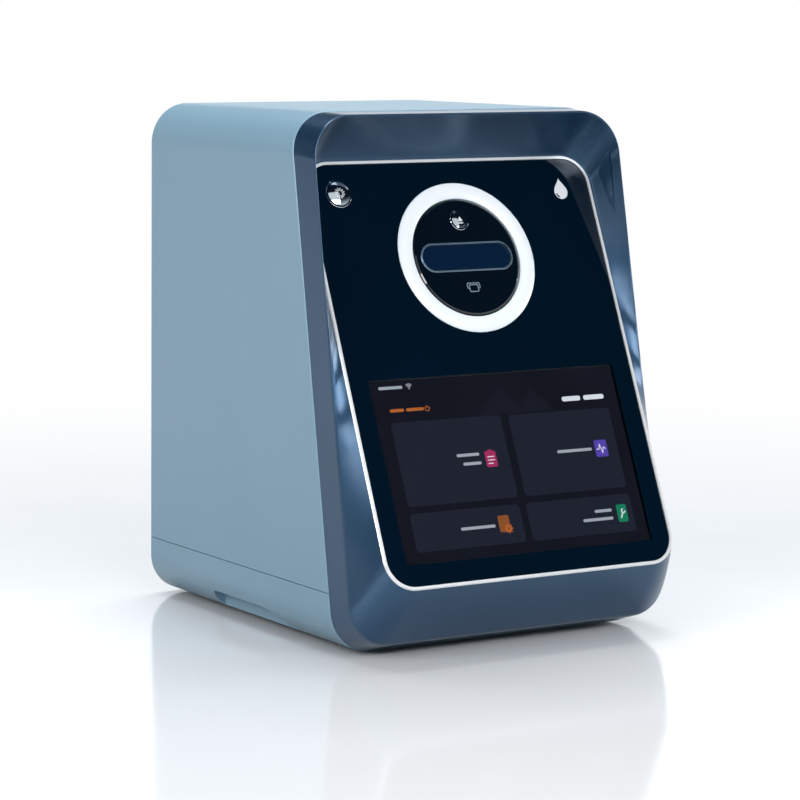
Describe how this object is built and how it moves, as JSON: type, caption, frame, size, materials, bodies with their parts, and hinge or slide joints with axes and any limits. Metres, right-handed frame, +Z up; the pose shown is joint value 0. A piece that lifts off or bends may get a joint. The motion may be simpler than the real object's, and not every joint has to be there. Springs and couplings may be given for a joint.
{
  "type": "hematology analyzer",
  "caption": "Benchtop blood analyzer with a leaning flared rim, dark glass touch front, ring-lit motorised cartridge tray and an inner inverted microscope.",
  "frame": {"origin": "on the table, under the middle of the housing", "axes": "+Z up, -Y out of the front, +X to the right when seen from the front"},
  "size_m": [0.2858, 0.3564, 0.401],
  "materials": {
    "shell": "satin cool grey moulding",
    "rim": "metallic grey paint on a moulding",
    "trim": "polished bevel",
    "glass": "dark printed cover glass",
    "display": "dark display panel",
    "ring": "white light diffuser",
    "black_gloss": "black high gloss",
    "chrome": "dark polished chrome",
    "sheet_steel": "zinc-plated sheet",
    "cast": "machined aluminium",
    "black_metal": "matt black",
    "steel": "ground steel",
    "brass": "turned brass",
    "board": "green circuit board",
    "lens": "clear optical glass",
    "tray": "light moulded plastic",
    "gear": "natural acetal",
    "black_plastic": "black moulded plastic",
    "rear_paint": "satin painted sheet",
    "rubber": "black rubber"
  },
  "bodies": {
    "housing": {"upper_shell": "shell", "base_shell": "shell", "front_bezel": "rim", "glass_trim": "trim", "front_glass": "glass", "display_module": "display", "carrier_plate": "sheet_steel", "carrier_screws": "steel", "display_board": "board", "light_ring": "ring", "led_board": "board", "centre_hub": "black_gloss", "slot_trim": "trim", "power_ring": "chrome", "power_switch_board": "board", "eject_ring": "chrome", "eject_switch_board": "board", "tray_motor": "black_metal", "tray_guides": "black_plastic", "tray_deck": "sheet_steel", "side_plates": "sheet_steel", "chassis_posts": "steel", "chassis_plate": "sheet_steel", "chassis_screws": "steel", "case_screws": "steel", "focus_frame": "cast", "guide_rods": "steel", "focus_motor": "black_metal", "lamp_bridge": "sheet_steel", "lamp_housing": "black_metal", "condenser_lens": "lens", "main_board": "board", "board_standoffs": "brass", "power_supply": "sheet_steel", "rear_panel": "rear_paint", "panel_screws": "steel", "fan_frame": "black_plastic", "mains_inlet": "black_plastic", "inlet_pins": "brass", "rocker_housing": "black_plastic", "io_board": "board", "io_bracket": "sheet_steel", "usb_ports": "steel", "lan_port": "steel", "rubber_feet": "rubber"},
    "power_button": {"power_button": "chrome"},
    "eject_button": {"eject_button": "chrome"},
    "tray": {"tray_door": "black_gloss", "cartridge_tray": "tray", "tray_rack": "gear"},
    "pinion": {"drive_pinion": "gear"},
    "focus": {"focus_carriage": "cast", "objective_lens": "chrome", "camera_tube": "black_metal", "camera_module": "black_metal"},
    "focus_screw": {"focus_screw": "steel"},
    "rocker": {"rocker_switch": "black_plastic"},
    "fan": {"fan_rotor": "black_plastic"}
  },
  "joints": [
    {"name": "power_button_press", "type": "slide", "parent": "housing", "child": "power_button", "axis": [0, 0.9171, -0.3987], "range_m": [0, 0.0012], "stiffness_N_per_m": 900, "springref_m": -0.0008},
    {"name": "eject_button_press", "type": "slide", "parent": "housing", "child": "eject_button", "axis": [0, 0.9171, -0.3987], "range_m": [0, 0.001], "stiffness_N_per_m": 900, "springref_m": -0.0008},
    {"name": "tray_slide", "type": "slide", "parent": "housing", "child": "tray", "axis": [0, -1, 0], "range_m": [0, 0.092]},
    {"name": "pinion_spin", "type": "hinge", "parent": "housing", "child": "pinion", "pos_m": [0.0135, -0.048, 0.2833], "axis": [0, 0, -1], "range_deg": [0, 586]},
    {"name": "focus_slide", "type": "slide", "parent": "housing", "child": "focus", "axis": [0, 0, 1], "range_m": [-0.002, 0.002]},
    {"name": "focus_screw_spin", "type": "hinge", "parent": "housing", "child": "focus_screw", "pos_m": [0, 0.01, 0.2], "axis": [0, 0, 1], "range_deg": [-721, 721]},
    {"name": "rocker_tip", "type": "hinge", "parent": "housing", "child": "rocker", "pos_m": [-0.05, 0.16825, 0.095], "axis": [-1, 0, 0], "range_deg": [0, 20]},
    {"name": "fan_spin", "type": "hinge", "parent": "housing", "child": "fan", "pos_m": [0, 0.16, 0.262], "axis": [0, 1, 0], "continuous": true}
  ],
  "couplings": [
    {"joint": "pinion_spin", "follows": "tray_slide", "rad_per_m": 111.11},
    {"joint": "focus_screw_spin", "follows": "focus_slide", "rad_per_m": 6283.2}
  ]
}
